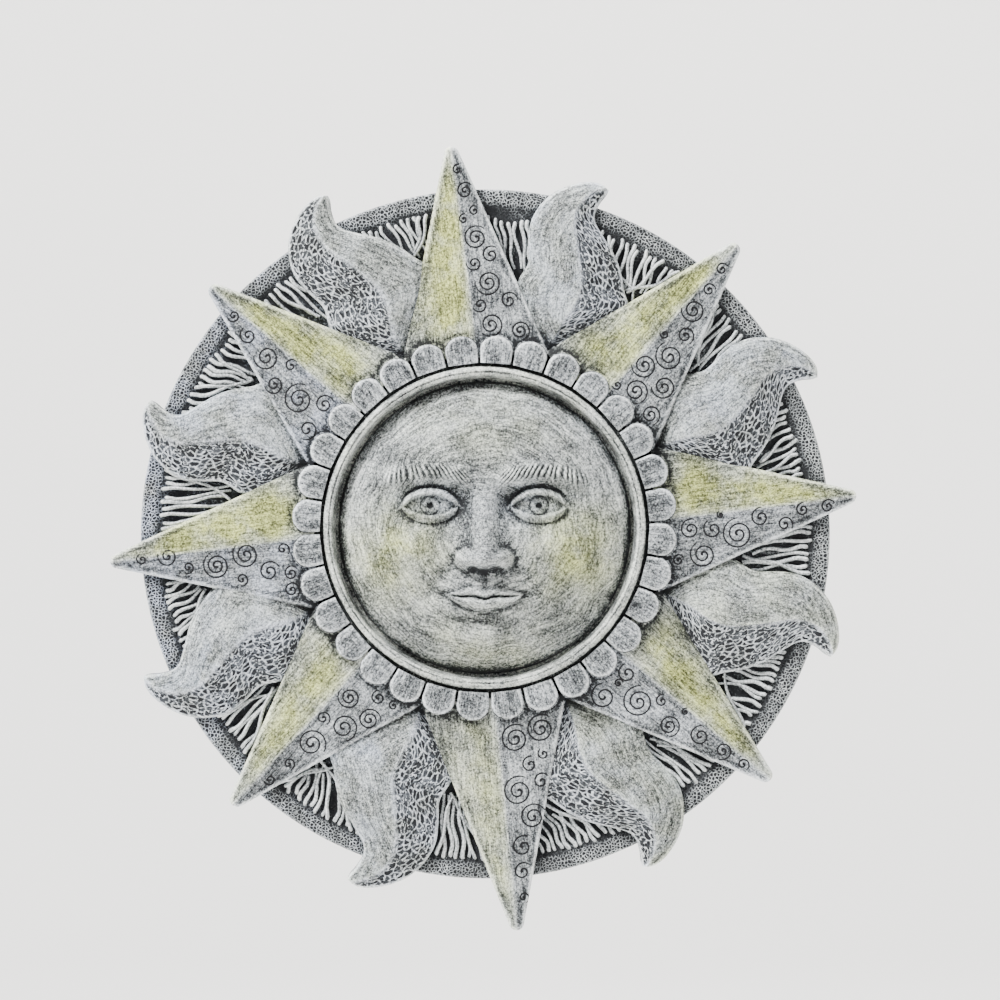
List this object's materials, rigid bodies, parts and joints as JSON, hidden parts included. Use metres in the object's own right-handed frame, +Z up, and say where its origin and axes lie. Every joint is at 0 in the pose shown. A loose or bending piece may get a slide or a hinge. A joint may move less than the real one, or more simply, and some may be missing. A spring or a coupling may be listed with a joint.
{
  "type": "sun face wall plaque",
  "caption": "Cast stone wall plaque: a calm face in a petalled ring, straight and wavy sun rays with carved scrolls and pitted flames, on a round plate with a stippled rim.",
  "frame": {"origin": "middle of the round plate on the flat back, which lies against the wall", "axes": "+Z up as the plaque hangs, -Y out of the wall towards the viewer, +X to the right as seen from the front"},
  "size_m": [0.3728, 0.0476, 0.3915],
  "materials": {
    "cast_stone": "grey cast stone with a dark wash in the hollows, a whitish dry-brushed patina on what stands out, and pale yellow and lilac tints"
  },
  "bodies": {
    "root": {"sun_plaque": "cast_stone"}
  },
  "joints": []
}
